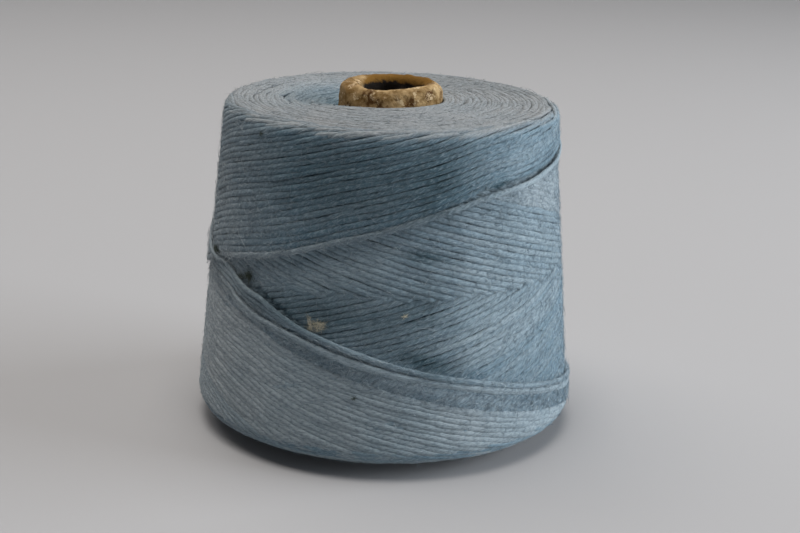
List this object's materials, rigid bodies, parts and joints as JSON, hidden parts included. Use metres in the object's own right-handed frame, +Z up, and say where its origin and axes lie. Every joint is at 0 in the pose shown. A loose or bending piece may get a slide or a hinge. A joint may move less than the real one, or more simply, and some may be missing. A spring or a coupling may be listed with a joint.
{
  "type": "cone of cotton string",
  "caption": "Cone of soft blue-grey string, cross-wound on a tapered paper core; it stands on the core's foot and pays out upwards over its nose.",
  "frame": {"origin": "centre of the core's foot, on the surface that the cone stands on", "axes": "+Z up along the core's axis, from its wide foot to its nose; -Y is the side seen from the front"},
  "size_m": [0.1399, 0.14, 0.126],
  "materials": {
    "paper": "rolled kraft paper, matt, fibres frayed at the curled nose",
    "string": "soft single-twist dyed cotton, matt and slightly hairy"
  },
  "bodies": {
    "root": {"paper_core": "paper", "string_winding": "string"}
  },
  "joints": []
}
